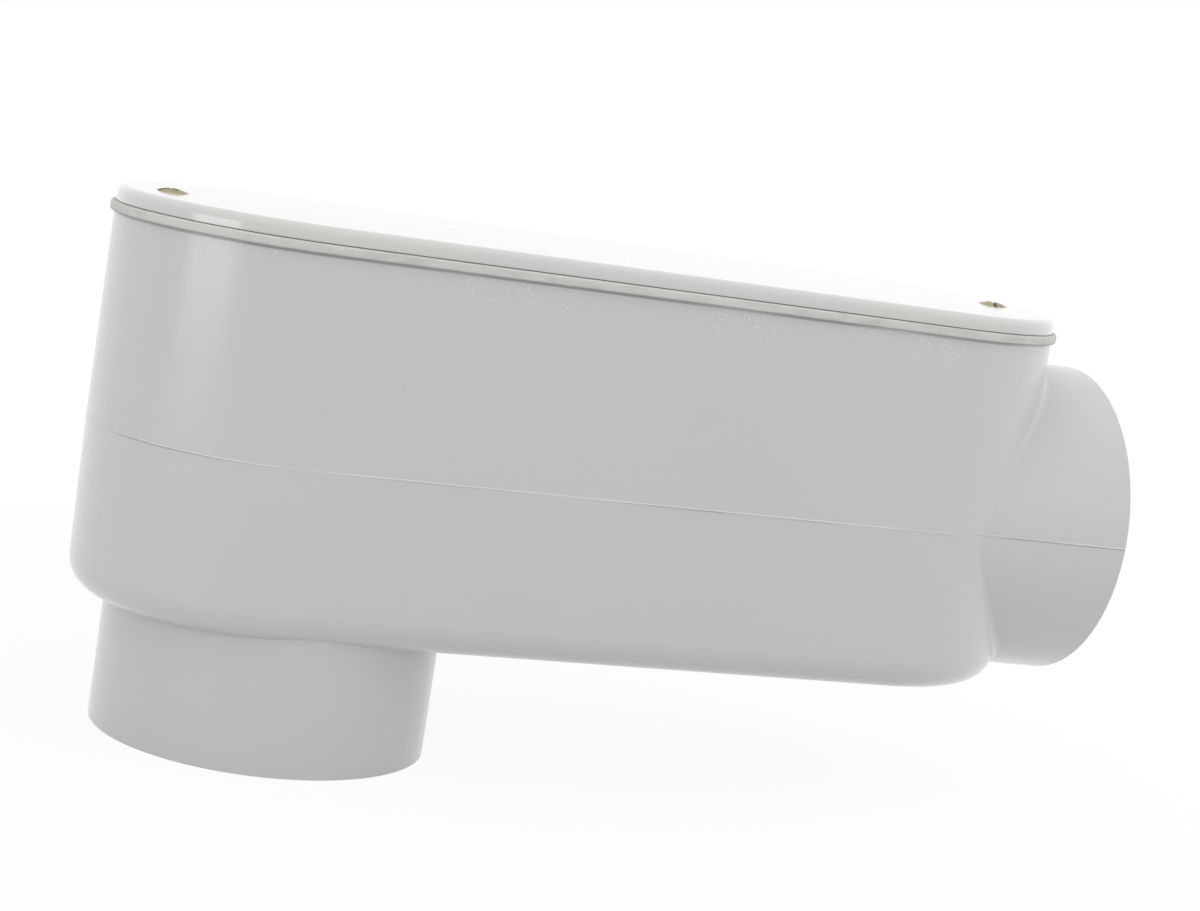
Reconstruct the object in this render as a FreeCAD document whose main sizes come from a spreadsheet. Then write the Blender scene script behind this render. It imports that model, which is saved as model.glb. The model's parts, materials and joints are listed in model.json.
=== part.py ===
import FreeCAD, Part
import math
import os
import re

import Sketcher

# PVC conduit body, type LB, for 4-inch conduit, in millimetres.
#
# One moulded box with rounded ends has a hub at its back, near one end, and a hub at its other end, so
# that a run of conduit turns through a right angle and its wires are reached under the cover. The origin
# is the centre of the back hub's mouth, +Z runs up to the cover and +X runs towards the end hub.

SIZES = {
    # the conduit that both hubs take
    "conduit_diameter": 114.3,
    # hubs: sockets with a lead-in, which end at a stop
    "socket_clearance": 0.3,
    "socket_depth": 50.8,
    "lead_in": 1.0,
    "stop_width": 7.5,
    "stop_thickness": 7.0,
    "hub_wall": 6.05,
    # moulded box
    "side_step": 5.0,
    "end_spacing": 242.0,
    "body_wall": 5.5,
    "floor_thickness": 7.0,
    "upper_draft": 0.3,
    "lower_draft": 0.55,
    "bottom_edge_radius": 12.0,
    "floor_edge_chamfer": 5.0,
    "cavity_draft": 0.3,
    # where the hubs stand on the box
    "back_hub_offset": 10.0,
    "socket_recess": 2.0,
    "end_hub_reach": 92.2,
    "end_hub_taper": 0.7,
    "end_hub_drop": 11.9,
    "end_hub_lift": 0.7,
    "end_hub_blend": 4.0,
    # gasket
    "gasket_thickness": 3.5,
    "gasket_overhang": 1.75,
    "gasket_lip": 2.0,
    "gasket_tab_radius": 8.0,
    # cover
    "cover_thickness": 6.0,
    "cover_setback": 0.1,
    "cover_edge_chamfer": 2.2,
    "cover_land_width": 9.0,
    "cover_core_depth": 2.5,
    "cover_pad_radius": 8.0,
    "cover_rib_width": 2.4,
    "cover_rib_depth": 1.5,
    "cover_rib_count": 5,
    # screws, and the bosses that take them
    "screw_inset": 19.0,
    "screw_diameter": 4.8,
    "screw_grip": 12.5,
    "screw_head_diameter": 11.8,
    "screw_head_rise": 1.3,
    "countersink_angle": 82.0,
    "countersink_clearance": 0.1,
    "screw_hole_clearance": 0.3,
    "slot_width": 1.5,
    "slot_depth": 2.2,
    "cross_length": 6.2,
    "cross_width": 1.7,
    "cross_depth": 3.0,
    "left_screw_turn": 22.0,
    "right_screw_turn": 72.0,
    "boss_radius": 6.0,
    "pilot_clearance": 0.05,
    "pilot_spare_depth": 1.5,
}

# Lengths that follow from the sizes above, as formulas in the same plain names.
DERIVED = {
    "socket_radius": "conduit_diameter / 2 + socket_clearance",
    "throat_radius": "conduit_diameter / 2 - stop_width",
    "hub_radius": "socket_radius + hub_wall",
    "plan_radius": "hub_radius + side_step",
    "end_hub_axis_depth": "hub_radius + end_hub_drop",
    "body_depth": "end_hub_axis_depth + hub_radius + end_hub_lift",
    "underside_height": "socket_depth - socket_recess",
    "floor_height": "underside_height + floor_thickness",
    "rim_height": "underside_height + body_depth",
    "hub_axis_height": "rim_height - end_hub_axis_depth",
    "left_centre": "0 - back_hub_offset",
    "right_centre": "end_spacing - back_hub_offset",
    "end_hub_mouth": "right_centre + end_hub_reach",
    "collar_face": "end_hub_mouth - socket_depth - stop_thickness",
    "rim_radius": "plan_radius - end_hub_axis_depth * tan(upper_draft)",
    "cavity_radius": "rim_radius - body_wall",
    "cover_base_radius": "rim_radius - cover_setback",
    "cover_core_radius": "cover_base_radius - cover_land_width",
    "gasket_top": "rim_height + gasket_thickness",
    "cover_top": "gasket_top + cover_thickness",
    "screw_reach": "rim_radius - screw_inset",
    "screw_radius": "screw_diameter / 2",
    "screw_head_radius": "screw_head_diameter / 2",
    "screw_cone_depth": "(screw_head_radius - screw_radius) / tan(countersink_angle / 2)",
    "screw_tip_height": "rim_height - screw_grip",
    "screw_hole_radius": "screw_radius + screw_hole_clearance",
    "dome_radius": "(screw_head_radius ^ 2 + screw_head_rise ^ 2) / (2 * screw_head_rise)",
}

# A hub's sketch has its origin at the mouth's centre and its vertical axis running inwards.
HUB_PLANES = {
    "back": {"role": "XZ_Plane"},
    "end": {"role": "XY_Plane", "shift_x": "end_hub_mouth", "height": "hub_axis_height", "turn": 90},
}
ENDS = {"left": -1, "right": 1}
CUTTING_KINDS = ("Pocket", "Groove", "Hole")
HALF_TURN = math.pi
QUARTER_TURN = math.pi / 2


def formula(text):
    """Write a formula in plain names as one in cells of the sheet."""

    def cell(match):
        name = match.group(0)
        if name in DERIVED:
            return "(" + formula(DERIVED[name]) + ")"
        return "sizes." + name if name in SIZES else name

    return re.sub(r"[a-z_]+", cell, text)


def value(text):
    """The number that a formula gives with the sheet's present sizes."""
    result = sheet.evalExpression(formula(text))
    return float(getattr(result, "Value", result))


def bind(item, path, text):
    """Tie a property of an object, or a named constraint of a sketch, to a formula."""
    item.setExpression(path, formula(text))


def new_sheet():
    """The spreadsheet of driving dimensions: one name and one plain number in each row."""
    table = doc.addObject("Spreadsheet::Sheet", "sizes")
    for row, (name, number) in enumerate(SIZES.items(), 1):
        table.set("A%d" % row, name)
        table.set("B%d" % row, str(number))
        table.setAlias("B%d" % row, name)
    doc.recompute()
    return table


def new_body(name):
    """A body whose Label names its file."""
    body = doc.addObject("PartDesign::Body", name)
    body.Label = name
    return body


def new_sketch(body, name, role, shift_x="0", height="0", turn=0):
    """A sketch on one of the body's origin planes, shifted, raised and turned about its normal."""
    sketch = body.newObject("Sketcher::SketchObject", name)
    plane = next(item for item in body.Origin.OriginFeatures if item.Role == role)
    sketch.AttachmentSupport = [(plane, "")]
    sketch.MapMode = "FlatFace"
    sketch.AttachmentOffset = FreeCAD.Placement(
        FreeCAD.Vector(), FreeCAD.Rotation(FreeCAD.Vector(0, 0, 1), turn)
    )
    bind(sketch, "AttachmentOffset.Base.x", shift_x)
    bind(sketch, "AttachmentOffset.Base.z", height)
    return sketch


def dimension(sketch, kind, references, text):
    """A driving constraint of a sketch, bound to a formula."""
    number = sketch.addConstraint(Sketcher.Constraint(kind, *references, value(text)))
    name = "size_%d" % number
    sketch.renameConstraint(number, name)
    bind(sketch, "Constraints." + name, text)


def fix_point(sketch, curve, end, across, along):
    """Hold one point of a curve at two formulas, measured from the sketch's origin."""
    dimension(sketch, "DistanceX", (-1, 1, curve, end), across)
    dimension(sketch, "DistanceY", (-1, 1, curve, end), along)


def add_line(sketch, start, end):
    """A straight line between two points given as formulas."""
    corners = [FreeCAD.Vector(value(point[0]), value(point[1]), 0) for point in (start, end)]
    return sketch.addGeometry(Part.LineSegment(*corners))


def add_arc(sketch, across, along, radius, start, end):
    """An arc about a point given as formulas, from one angle to another in radians."""
    centre = FreeCAD.Vector(value(across), value(along), 0)
    circle = Part.Circle(centre, FreeCAD.Vector(0, 0, 1), value(radius))
    curve = sketch.addGeometry(Part.ArcOfCircle(circle, start, end))
    fix_point(sketch, curve, 3, across, along)
    dimension(sketch, "Radius", (curve,), radius)
    return curve


def add_circle(sketch, across, along, radius):
    """A circle about a point given as formulas."""
    centre = FreeCAD.Vector(value(across), value(along), 0)
    curve = sketch.addGeometry(Part.Circle(centre, FreeCAD.Vector(0, 0, 1), value(radius)))
    fix_point(sketch, curve, 3, across, along)
    dimension(sketch, "Radius", (curve,), radius)


def add_polygon(sketch, points):
    """A closed outline of straight lines whose corners are pairs of formulas."""
    lines = []
    for start, end in zip(points, points[1:] + points[:1]):
        lines.append(add_line(sketch, start, end))
    for line, following in zip(lines, lines[1:] + lines[:1]):
        sketch.addConstraint(Sketcher.Constraint("Coincident", line, 2, following, 1))
    for line, point in zip(lines, points):
        fix_point(sketch, line, 1, *point)


def add_stadium(sketch, radius):
    """The plan of the box: two half circles about the end centres, joined by straight sides."""
    left = add_arc(sketch, "left_centre", "0", radius, QUARTER_TURN, QUARTER_TURN + HALF_TURN)
    right = add_arc(sketch, "right_centre", "0", radius, -QUARTER_TURN, QUARTER_TURN)
    joins = {1: (left, 1, right, 2), -1: (left, 2, right, 1)}
    for side, (first, first_end, second, second_end) in joins.items():
        edge = "%d * (%s)" % (side, radius)
        line = add_line(sketch, ("left_centre", edge), ("right_centre", edge))
        sketch.addConstraint(Sketcher.Constraint("Tangent", line, 1, first, first_end))
        sketch.addConstraint(Sketcher.Constraint("Tangent", line, 2, second, second_end))


def add_lobe(sketch, side, radius, reach):
    """A U round the screw at one end, open towards that end out to the given reach from its centre."""
    centre = end_centre(side)
    screw = screw_place(side)
    outer = "%s + %d * (%s)" % (centre, side, reach)
    turn = QUARTER_TURN * side
    arc = add_arc(sketch, screw, "0", radius, turn, turn + HALF_TURN)
    first = add_line(sketch, (screw, "%d * %s" % (side, radius)), (outer, "%d * %s" % (side, radius)))
    second = add_line(sketch, (screw, "%d * %s" % (-side, radius)), (outer, "%d * %s" % (-side, radius)))
    cap = add_line(sketch, (outer, "%d * %s" % (side, radius)), (outer, "%d * %s" % (-side, radius)))
    sketch.addConstraint(Sketcher.Constraint("Tangent", arc, 1, first, 1))
    sketch.addConstraint(Sketcher.Constraint("Tangent", arc, 2, second, 1))
    sketch.addConstraint(Sketcher.Constraint("Coincident", first, 2, cap, 1))
    sketch.addConstraint(Sketcher.Constraint("Coincident", second, 2, cap, 2))
    for line in (first, second):
        sketch.addConstraint(Sketcher.Constraint("Horizontal", line))
    sketch.addConstraint(Sketcher.Constraint("Vertical", cap))
    dimension(sketch, "DistanceX", (-1, 1, cap, 1), outer)


def end_centre(side):
    """The centre of the rounded end on one side."""
    return "right_centre" if side > 0 else "left_centre"


def screw_place(side):
    """Where the screw on one side stands along the box."""
    return "%s + %d * screw_reach" % (end_centre(side), side)


def add_feature(body, kind, name, sketch, settings, formulas):
    """A PartDesign feature of a sketch, with plain settings and with sizes bound to formulas."""
    before = body.Shape.Volume if body.Tip else 0.0
    feature = body.newObject("PartDesign::" + kind, name)
    feature.Profile = sketch
    for prop, setting in settings.items():
        setattr(feature, prop, setting)
    for prop, text in formulas.items():
        bind(feature, prop, text)
    doc.recompute()
    change = body.Shape.Volume - before
    if change > -1.0 if kind in CUTTING_KINDS else change < 1.0:
        raise RuntimeError(name + " changes nothing")
    return feature


def pad(body, name, sketch, reverse=False, **formulas):
    """A sketch raised along its normal, or against it."""
    return add_feature(body, "Pad", name, sketch, {"Reversed": reverse}, formulas)


def pocket(body, name, sketch, reverse=False, **formulas):
    """A sketch cut against its normal, or along it; right through when it has no Length."""
    settings = {"Reversed": reverse, "Type": "Length" if "Length" in formulas else "ThroughAll"}
    return add_feature(body, "Pocket", name, sketch, settings, formulas)


def revolve(body, kind, name, sketch):
    """A full turn of a sketch about its own vertical axis, added or cut."""
    return add_feature(body, kind, name, sketch, {"ReferenceAxis": (sketch, ["V_Axis"])}, {})


def edges_where(feature, test):
    """The names of a feature's edges that pass a test."""
    names = ["Edge%d" % number for number, edge in enumerate(feature.Shape.Edges, 1) if test(edge)]
    if not names:
        raise RuntimeError("no edge found on " + feature.Name)
    return names


def dress_edges(body, kind, name, size, test):
    """Round or chamfer the edges of the body's last feature that pass a test; no faces are merged."""
    base = body.Tip
    feature = body.newObject("PartDesign::" + kind, name)
    feature.Base = (base, edges_where(base, test))
    feature.Refine = False
    bind(feature, "Radius" if kind == "Fillet" else "Size", size)
    doc.recompute()
    return feature


def lies_at_height(edge, height):
    """Whether an edge lies wholly in one level plane."""
    box = edge.BoundBox
    return abs(box.ZMin - height) < 0.01 and abs(box.ZMax - height) < 0.01


def add_hub(body, name, length, root_radius):
    """The outside of a hub, from its mouth to its root inside the box."""
    sketch = new_sketch(body, name + "_outside", **HUB_PLANES[name])
    add_polygon(sketch, [("0", "0"), ("hub_radius", "0"), (root_radius, length), ("0", length)])
    return revolve(body, "Revolution", name + "_hub", sketch)


def cut_socket(body, name, stop):
    """The inside of a hub: lead-in, socket, stop and throat, through to the cavity."""
    sketch = new_sketch(body, name + "_inside", **HUB_PLANES[name])
    through = "socket_depth + " + stop
    add_polygon(
        sketch,
        [
            ("0", "0"),
            ("socket_radius + lead_in", "0"),
            ("socket_radius", "lead_in"),
            ("socket_radius", "socket_depth"),
            ("throat_radius", "socket_depth"),
            ("throat_radius", through),
            ("0", through),
        ],
    )
    revolve(body, "Groove", name + "_socket", sketch)


def make_cavity_core():
    """The mould core that leaves the cavity: it stops short of the collar and of the screw bosses."""
    body = new_body("cavity_core")
    plan = new_sketch(body, "core_plan", "XY_Plane", height="rim_height")
    add_stadium(plan, "cavity_radius")
    depth = "rim_height - floor_height"
    pad(body, "core_block", plan, reverse=True, Length=depth, TaperAngle="0 - cavity_draft")
    floor = value("floor_height")
    dress_edges(
        body, "Chamfer", "core_bottom_edge", "floor_edge_chamfer", lambda edge: lies_at_height(edge, floor)
    )

    collar = new_sketch(body, "collar_outline", "YZ_Plane", height="collar_face")
    arch = add_arc(collar, "0", "hub_axis_height", "hub_radius", 0, HALF_TURN)
    low = "floor_height - floor_thickness"
    right = add_line(collar, ("hub_radius", "hub_axis_height"), ("hub_radius", low))
    base = add_line(collar, ("hub_radius", low), ("0 - hub_radius", low))
    left = add_line(collar, ("0 - hub_radius", low), ("0 - hub_radius", "hub_axis_height"))
    collar.addConstraint(Sketcher.Constraint("Tangent", arch, 1, right, 1))
    collar.addConstraint(Sketcher.Constraint("Tangent", arch, 2, left, 2))
    collar.addConstraint(Sketcher.Constraint("Coincident", right, 2, base, 1))
    collar.addConstraint(Sketcher.Constraint("Coincident", base, 2, left, 1))
    for line in (right, left):
        collar.addConstraint(Sketcher.Constraint("Vertical", line))
    collar.addConstraint(Sketcher.Constraint("Horizontal", base))
    dimension(collar, "DistanceY", (-1, 1, base, 1), low)
    pocket(body, "collar_room", collar, reverse=True)

    for name, side in ENDS.items():
        sketch = new_sketch(body, name + "_boss_outline", "XY_Plane", height="rim_height")
        add_lobe(sketch, side, "boss_radius", "rim_radius")
        pocket(body, name + "_boss_room", sketch)
    return body


def make_housing(core):
    """The one-piece moulded box with its two hubs, collar, throats and screw bosses."""
    body = new_body("housing")
    plan = new_sketch(body, "parting_plan", "XY_Plane", height="hub_axis_height")
    add_stadium(plan, "plan_radius")
    pad(body, "upper_box", plan, Length="end_hub_axis_depth", TaperAngle="0 - upper_draft")
    depth = "hub_axis_height - underside_height"
    pad(body, "lower_box", plan, reverse=True, Length=depth, TaperAngle="0 - lower_draft")
    bottom = value("underside_height")
    dress_edges(
        body, "Fillet", "bottom_edge", "bottom_edge_radius", lambda edge: lies_at_height(edge, bottom)
    )

    end_root_radius = "hub_radius - end_hub_reach * tan(end_hub_taper)"
    add_hub(body, "end", "end_hub_reach", end_root_radius)
    dress_edges(body, "Fillet", "end_hub_junction", "end_hub_blend", is_end_hub_junction)
    add_hub(body, "back", "floor_height", "hub_radius")

    cavity = body.newObject("PartDesign::Boolean", "cavity")
    cavity.Type = "Cut"
    cavity.Group = [core]
    doc.recompute()

    cut_socket(body, "back", "floor_thickness - socket_recess")
    cut_socket(body, "end", "stop_thickness")
    for name, side in ENDS.items():
        pilot = new_sketch(body, name + "_pilot_outline", "XY_Plane", height="rim_height")
        add_circle(pilot, screw_place(side), "0", "screw_radius + pilot_clearance")
        pocket(body, name + "_pilot_hole", pilot, Length="screw_grip + pilot_spare_depth")
    return body


def is_end_hub_junction(edge):
    """Whether an edge is part of the line where the end hub leaves the rounded end of the box."""
    middle = edge.valueAt((edge.FirstParameter + edge.LastParameter) / 2)
    from_axis = math.hypot(middle.y, middle.z - value("hub_axis_height"))
    near_hub = abs(from_axis - value("hub_radius")) < 0.02 * value("hub_radius")
    box = edge.BoundBox
    inside = value("right_centre") < box.XMin and box.XMax < value("end_hub_mouth")
    return near_hub and inside and not isinstance(edge.Curve, (Part.Line, Part.Circle))


def make_gasket():
    """The foam ring between rim and cover, with a tab round each screw."""
    body = new_body("gasket")
    outline = new_sketch(body, "gasket_outline", "XY_Plane", height="rim_height")
    add_stadium(outline, "rim_radius + gasket_overhang")
    pad(body, "gasket_sheet", outline, Length="gasket_thickness")
    window = new_sketch(body, "gasket_window", "XY_Plane", height="gasket_top")
    add_stadium(window, "cavity_radius - gasket_lip")
    pocket(body, "gasket_opening", window)
    for name, side in ENDS.items():
        tab = new_sketch(body, name + "_tab_outline", "XY_Plane", height="rim_height")
        add_lobe(tab, side, "gasket_tab_radius", "cavity_radius")
        pad(body, name + "_tab", tab, Length="gasket_thickness")
        hole = new_sketch(body, name + "_gasket_hole_outline", "XY_Plane", height="gasket_top")
        add_circle(hole, screw_place(side), "0", "screw_hole_radius")
        pocket(body, name + "_gasket_hole", hole)
    return body


def make_cover():
    """The moulded cover: bevelled top edge, cored and ribbed underside, countersunk screw holes."""
    body = new_body("cover")
    outline = new_sketch(body, "cover_outline", "XY_Plane", height="gasket_top")
    add_stadium(outline, "cover_base_radius")
    pad(body, "cover_plate", outline, Length="cover_thickness")
    top = value("cover_top")
    dress_edges(body, "Chamfer", "cover_edge", "cover_edge_chamfer", lambda edge: lies_at_height(edge, top))

    core_plan = new_sketch(body, "cover_core_outline", "XY_Plane", height="gasket_top")
    add_stadium(core_plan, "cover_core_radius")
    pocket(body, "cover_core", core_plan, reverse=True, Length="cover_core_depth")
    rib_plan = new_sketch(body, "cover_rib_outline", "XY_Plane", height="gasket_top + cover_core_depth")
    edges = ("left_centre - cover_rib_width / 2", "left_centre + cover_rib_width / 2")
    sides = ("0 - cover_core_radius - cover_rib_width", "cover_core_radius + cover_rib_width")
    corners = [(edges[0], sides[0]), (edges[1], sides[0]), (edges[1], sides[1]), (edges[0], sides[1])]
    add_polygon(rib_plan, corners)
    rib = pad(body, "cover_rib", rib_plan, reverse=True, Length="cover_rib_depth")
    ribs = body.newObject("PartDesign::LinearPattern", "cover_ribs")
    ribs.Originals = [rib]
    ribs.Direction = (rib_plan, ["H_Axis"])
    bind(ribs, "Length", "end_spacing")
    bind(ribs, "Occurrences", "cover_rib_count")
    body.Tip = ribs
    doc.recompute()

    for name, side in ENDS.items():
        lobe = new_sketch(body, name + "_cover_pad_outline", "XY_Plane", height="gasket_top")
        add_lobe(lobe, side, "cover_pad_radius", "cover_core_radius + cover_rib_width")
        pad(body, name + "_cover_pad", lobe, Length="cover_core_depth")
        cut_countersink(body, name, side)
    return body


def cut_countersink(body, name, side):
    """A screw hole with its countersink, turned out of the cover about the screw's axis."""
    sketch = new_sketch(body, name + "_countersink_outline", "XZ_Plane", shift_x=screw_place(side))
    seat_radius = "screw_head_radius + countersink_clearance"
    cone_depth = "(%s - screw_hole_radius) / tan(countersink_angle / 2)" % seat_radius
    add_polygon(
        sketch,
        [
            ("0", "gasket_top"),
            ("screw_hole_radius", "gasket_top"),
            ("screw_hole_radius", "cover_top - " + cone_depth),
            (seat_radius, "cover_top"),
            ("0", "cover_top"),
        ],
    )
    revolve(body, "Groove", name + "_screw_hole", sketch)


def make_screw(name, side):
    """An oval-head machine screw: domed countersunk head with a slot and a cross, and a plain shank."""
    body = new_body(name + "_screw")
    sketch = new_sketch(body, name + "_screw_profile", "XZ_Plane")
    centre_height = "cover_top + screw_head_rise - dome_radius"
    start = math.atan2(value("dome_radius - screw_head_rise"), value("screw_head_radius"))
    dome = add_arc(sketch, "0", centre_height, "dome_radius", start, QUARTER_TURN)
    corners = [
        ("0", "cover_top + screw_head_rise"),
        ("0", "screw_tip_height"),
        ("screw_radius", "screw_tip_height"),
        ("screw_radius", "cover_top - screw_cone_depth"),
        ("screw_head_radius", "cover_top"),
    ]
    lines = [add_line(sketch, *pair) for pair in zip(corners, corners[1:])]
    for line, following in zip(lines, lines[1:]):
        sketch.addConstraint(Sketcher.Constraint("Coincident", line, 2, following, 1))
    sketch.addConstraint(Sketcher.Constraint("Coincident", dome, 2, lines[0], 1))
    sketch.addConstraint(Sketcher.Constraint("Coincident", lines[-1], 2, dome, 1))
    sketch.addConstraint(Sketcher.Constraint("PointOnObject", lines[0], 1, -2))
    for line, corner in zip(lines[1:], corners[1:]):
        fix_point(sketch, line, 1, *corner)
    dimension(sketch, "DistanceY", (-1, 1, lines[-1], 2), "cover_top")
    revolve(body, "Revolution", name + "_screw_turned", sketch)

    recesses = {
        "slot": ("screw_head_diameter", "slot_width", "slot_depth"),
        "cross": ("cross_width", "cross_length", "cross_depth"),
        "cross_arm": ("cross_length", "cross_width", "cross_depth"),
    }
    for recess, (length, width, depth) in recesses.items():
        top = "cover_top + screw_head_rise"
        outline = new_sketch(body, "%s_%s_outline" % (name, recess), "XY_Plane", height=top)
        half_length, half_width = "(%s) / 2" % length, "(%s) / 2" % width
        signs = ((-1, -1), (1, -1), (1, 1), (-1, 1))
        corners = [("%d * %s" % (x, half_length), "%d * %s" % (y, half_width)) for x, y in signs]
        add_polygon(outline, corners)
        pocket(body, "%s_%s" % (name, recess), outline, Length=depth)

    bind(body, "Placement.Base.x", screw_place(side))
    bind(body, "Placement.Rotation.Angle", name + "_screw_turn")
    return body


def make_screws():
    """Both cover screws, as one group of separate solids."""
    group = doc.addObject("Part::Compound", "cover_screws")
    group.Label = "cover_screws"
    group.Links = [make_screw(name, side) for name, side in ENDS.items()]
    return group


def check(parts):
    """Raise an error unless every object of the document is up to date and every part is sound."""
    for item in doc.Objects:
        if "Invalid" in item.State or "Error" in item.State:
            raise RuntimeError(item.Name + " has failed")
    for part in parts:
        if part.Shape.isNull() or not part.Shape.isValid():
            raise RuntimeError(part.Label + " has no sound shape")


def export(parts):
    """Write each part's shape to a file of its own, named by its Label."""
    os.makedirs("parts", exist_ok=True)
    for part in parts:
        part.Shape.exportStep(os.path.join("parts", part.Label + ".step"))


doc = FreeCAD.newDocument("conduit_body")
sheet = new_sheet()
parts = [make_housing(make_cavity_core()), make_gasket(), make_cover(), make_screws()]
doc.recompute()
check(parts)
export(parts)
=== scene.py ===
"""Dress the moulded conduit body: plastic, foam gasket, parting line, screws and a stage."""

import json
import math

import bmesh
import bpy
from bpy.props import FloatProperty, FloatVectorProperty, IntProperty, PointerProperty
from mathutils import Matrix, Vector, noise


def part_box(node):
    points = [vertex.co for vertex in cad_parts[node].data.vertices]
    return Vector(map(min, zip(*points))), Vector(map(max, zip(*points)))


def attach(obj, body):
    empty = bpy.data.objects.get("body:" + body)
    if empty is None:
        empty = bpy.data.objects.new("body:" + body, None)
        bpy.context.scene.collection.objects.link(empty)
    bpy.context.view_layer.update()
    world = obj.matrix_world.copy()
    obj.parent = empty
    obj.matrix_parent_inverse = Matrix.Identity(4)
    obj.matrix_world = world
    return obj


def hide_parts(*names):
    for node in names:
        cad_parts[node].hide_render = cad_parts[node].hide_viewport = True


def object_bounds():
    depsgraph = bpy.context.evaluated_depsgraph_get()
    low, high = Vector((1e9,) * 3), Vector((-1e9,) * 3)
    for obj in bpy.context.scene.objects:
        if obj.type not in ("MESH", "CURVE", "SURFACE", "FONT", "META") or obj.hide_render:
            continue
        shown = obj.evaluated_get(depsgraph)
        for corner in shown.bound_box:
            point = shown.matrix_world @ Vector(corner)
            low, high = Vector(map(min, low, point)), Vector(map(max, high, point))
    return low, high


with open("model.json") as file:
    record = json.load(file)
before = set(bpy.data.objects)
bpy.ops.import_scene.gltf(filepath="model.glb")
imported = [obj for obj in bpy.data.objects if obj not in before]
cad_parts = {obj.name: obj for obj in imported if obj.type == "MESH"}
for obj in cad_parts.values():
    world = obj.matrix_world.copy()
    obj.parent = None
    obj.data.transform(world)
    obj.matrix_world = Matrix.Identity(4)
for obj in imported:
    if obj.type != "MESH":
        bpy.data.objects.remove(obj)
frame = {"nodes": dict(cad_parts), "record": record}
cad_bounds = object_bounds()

bl_info = {
    "name": "Conduit Body Dressing",
    "version": (1, 0, 0),
    "blender": (4, 5, 0),
    "location": "3D View > Sidebar > Conduit body",
    "description": "Finishes, foam gasket, parting line and stage for a moulded conduit body",
    "category": "Object",
}

# Places read from the frame, in metres. The box has a round end at each side. The left one
# stands over the back hub, and +X runs from it to the right one, which carries the end hub.
HOUSING_LOW, HOUSING_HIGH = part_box("housing")
GASKET_LOW, GASKET_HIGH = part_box("gasket")
COVER_LOW, COVER_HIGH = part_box("cover")
SCREW_LOW, SCREW_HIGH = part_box("cover_screws")
MOUNTS = {mount["name"]: mount for mount in frame["record"]["mounts"]}
HUB_MOUTH = MOUNTS["end_hub"]["pos_m"][0]
HUB_AXIS_HEIGHT = MOUNTS["end_hub"]["pos_m"][2]
PLAN_RADIUS = HOUSING_HIGH.y
GASKET_RADIUS = GASKET_HIGH.y
LEFT_CENTRE = HOUSING_LOW.x + PLAN_RADIUS
RIGHT_CENTRE = COVER_HIGH.x - COVER_HIGH.y
# Each screw stands on the middle line, and its head is the widest round of it.
SCREW_PLACES = (SCREW_LOW.x + SCREW_HIGH.y, SCREW_HIGH.x - SCREW_HIGH.y)

# Edges that turn by more than this stay crisp on a piece that is otherwise shaded smooth.
SHARP_ANGLE = math.radians(30)
# How far the cover's ribs run into the plate and the flash's foot into the wall, in metres.
RIB_SINK = 0.0002
FLASH_SINK = 0.0001
# How far the flash strays up and down from the parting plane.
FLASH_DRIFT = 0.00012
# The broken edge at the top of a countersink, and the flat strip inside the cover's top edge.
SEAT_BREAK = 0.0001
TOP_STRIP = 0.001
# Heights of the painted highlight on the flash's crest and of the painted shadow under it, from the
# parting plane.
CREST_RISE = 0.0001
SHADOW_DROP = 0.00042

# Steps in the quarter turns of the cover's edge and of the foam's, in the blend between the
# box and the end hub, round a foam tab and its hole, and round a screw's well in the cover.
COVER_EDGE_STEPS = 10
FOAM_EDGE_STEPS = 4
BLEND_STEPS = 8
TAB_STEPS = 24
WELL_STEPS = 48

# Sockets of the Mix node when it mixes colours.
MIX_FACTOR, MIX_FIRST, MIX_SECOND, MIX_RESULT = 0, 6, 7, 2


# ------------------------------------------------------------------------------------- settings


class PlasticSettings(bpy.types.PropertyGroup):
    """Colour and wear of the two mouldings."""

    housing_colour: FloatVectorProperty(
        name="Housing colour",
        description="Base colour of the moulded box and its hubs",
        default=(0.535, 0.545, 0.545),
        subtype="COLOR",
        min=0.0,
        max=1.0,
    )
    cover_colour: FloatVectorProperty(
        name="Cover colour",
        description="Base colour of the cover",
        default=(0.585, 0.585, 0.575),
        subtype="COLOR",
        min=0.0,
        max=1.0,
    )
    roughness: FloatProperty(
        name="Roughness",
        description="How far the housing's skin spreads its reflections",
        default=0.24,
        subtype="FACTOR",
        min=0.0,
        max=1.0,
    )
    cover_roughness: FloatProperty(
        name="Cover roughness",
        description="How far the cover's glossier skin spreads its reflections",
        default=0.17,
        subtype="FACTOR",
        min=0.0,
        max=1.0,
    )
    scuff_depth: FloatProperty(
        name="Scuff depth",
        description="How far down from the rim the housing is scuffed",
        default=0.02,
        unit="LENGTH",
    )
    speck_spacing: FloatProperty(
        name="Speck spacing",
        description="Size of the cells that may each hold one dark speck",
        default=0.008,
        unit="LENGTH",
    )


class PartingSettings(bpy.types.PropertyGroup):
    """The thin flash that the mould's parting line leaves round the box and along the end hub."""

    width: FloatProperty(
        name="Width",
        description="Width of the flash at its foot",
        default=0.0008,
        unit="LENGTH",
    )
    height: FloatProperty(
        name="Height",
        description="How far the flash stands off the wall where it is strongest",
        default=0.0004,
        unit="LENGTH",
    )
    hub_root_radius: FloatProperty(
        name="Hub radius at the box",
        description="Outside radius of the end hub where it leaves the box",
        default=0.06271,
        unit="LENGTH",
    )
    hub_mouth_radius: FloatProperty(
        name="Hub radius at the mouth",
        description="Outside radius of the end hub at its mouth",
        default=0.0635,
        unit="LENGTH",
    )
    blend_radius: FloatProperty(
        name="Blend radius",
        description="Radius of the blend between the box and the end hub",
        default=0.004,
        unit="LENGTH",
    )
    pitch: FloatProperty(
        name="Pitch",
        description="Distance between neighbouring points of the flash",
        default=0.0011,
        unit="LENGTH",
    )


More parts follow.
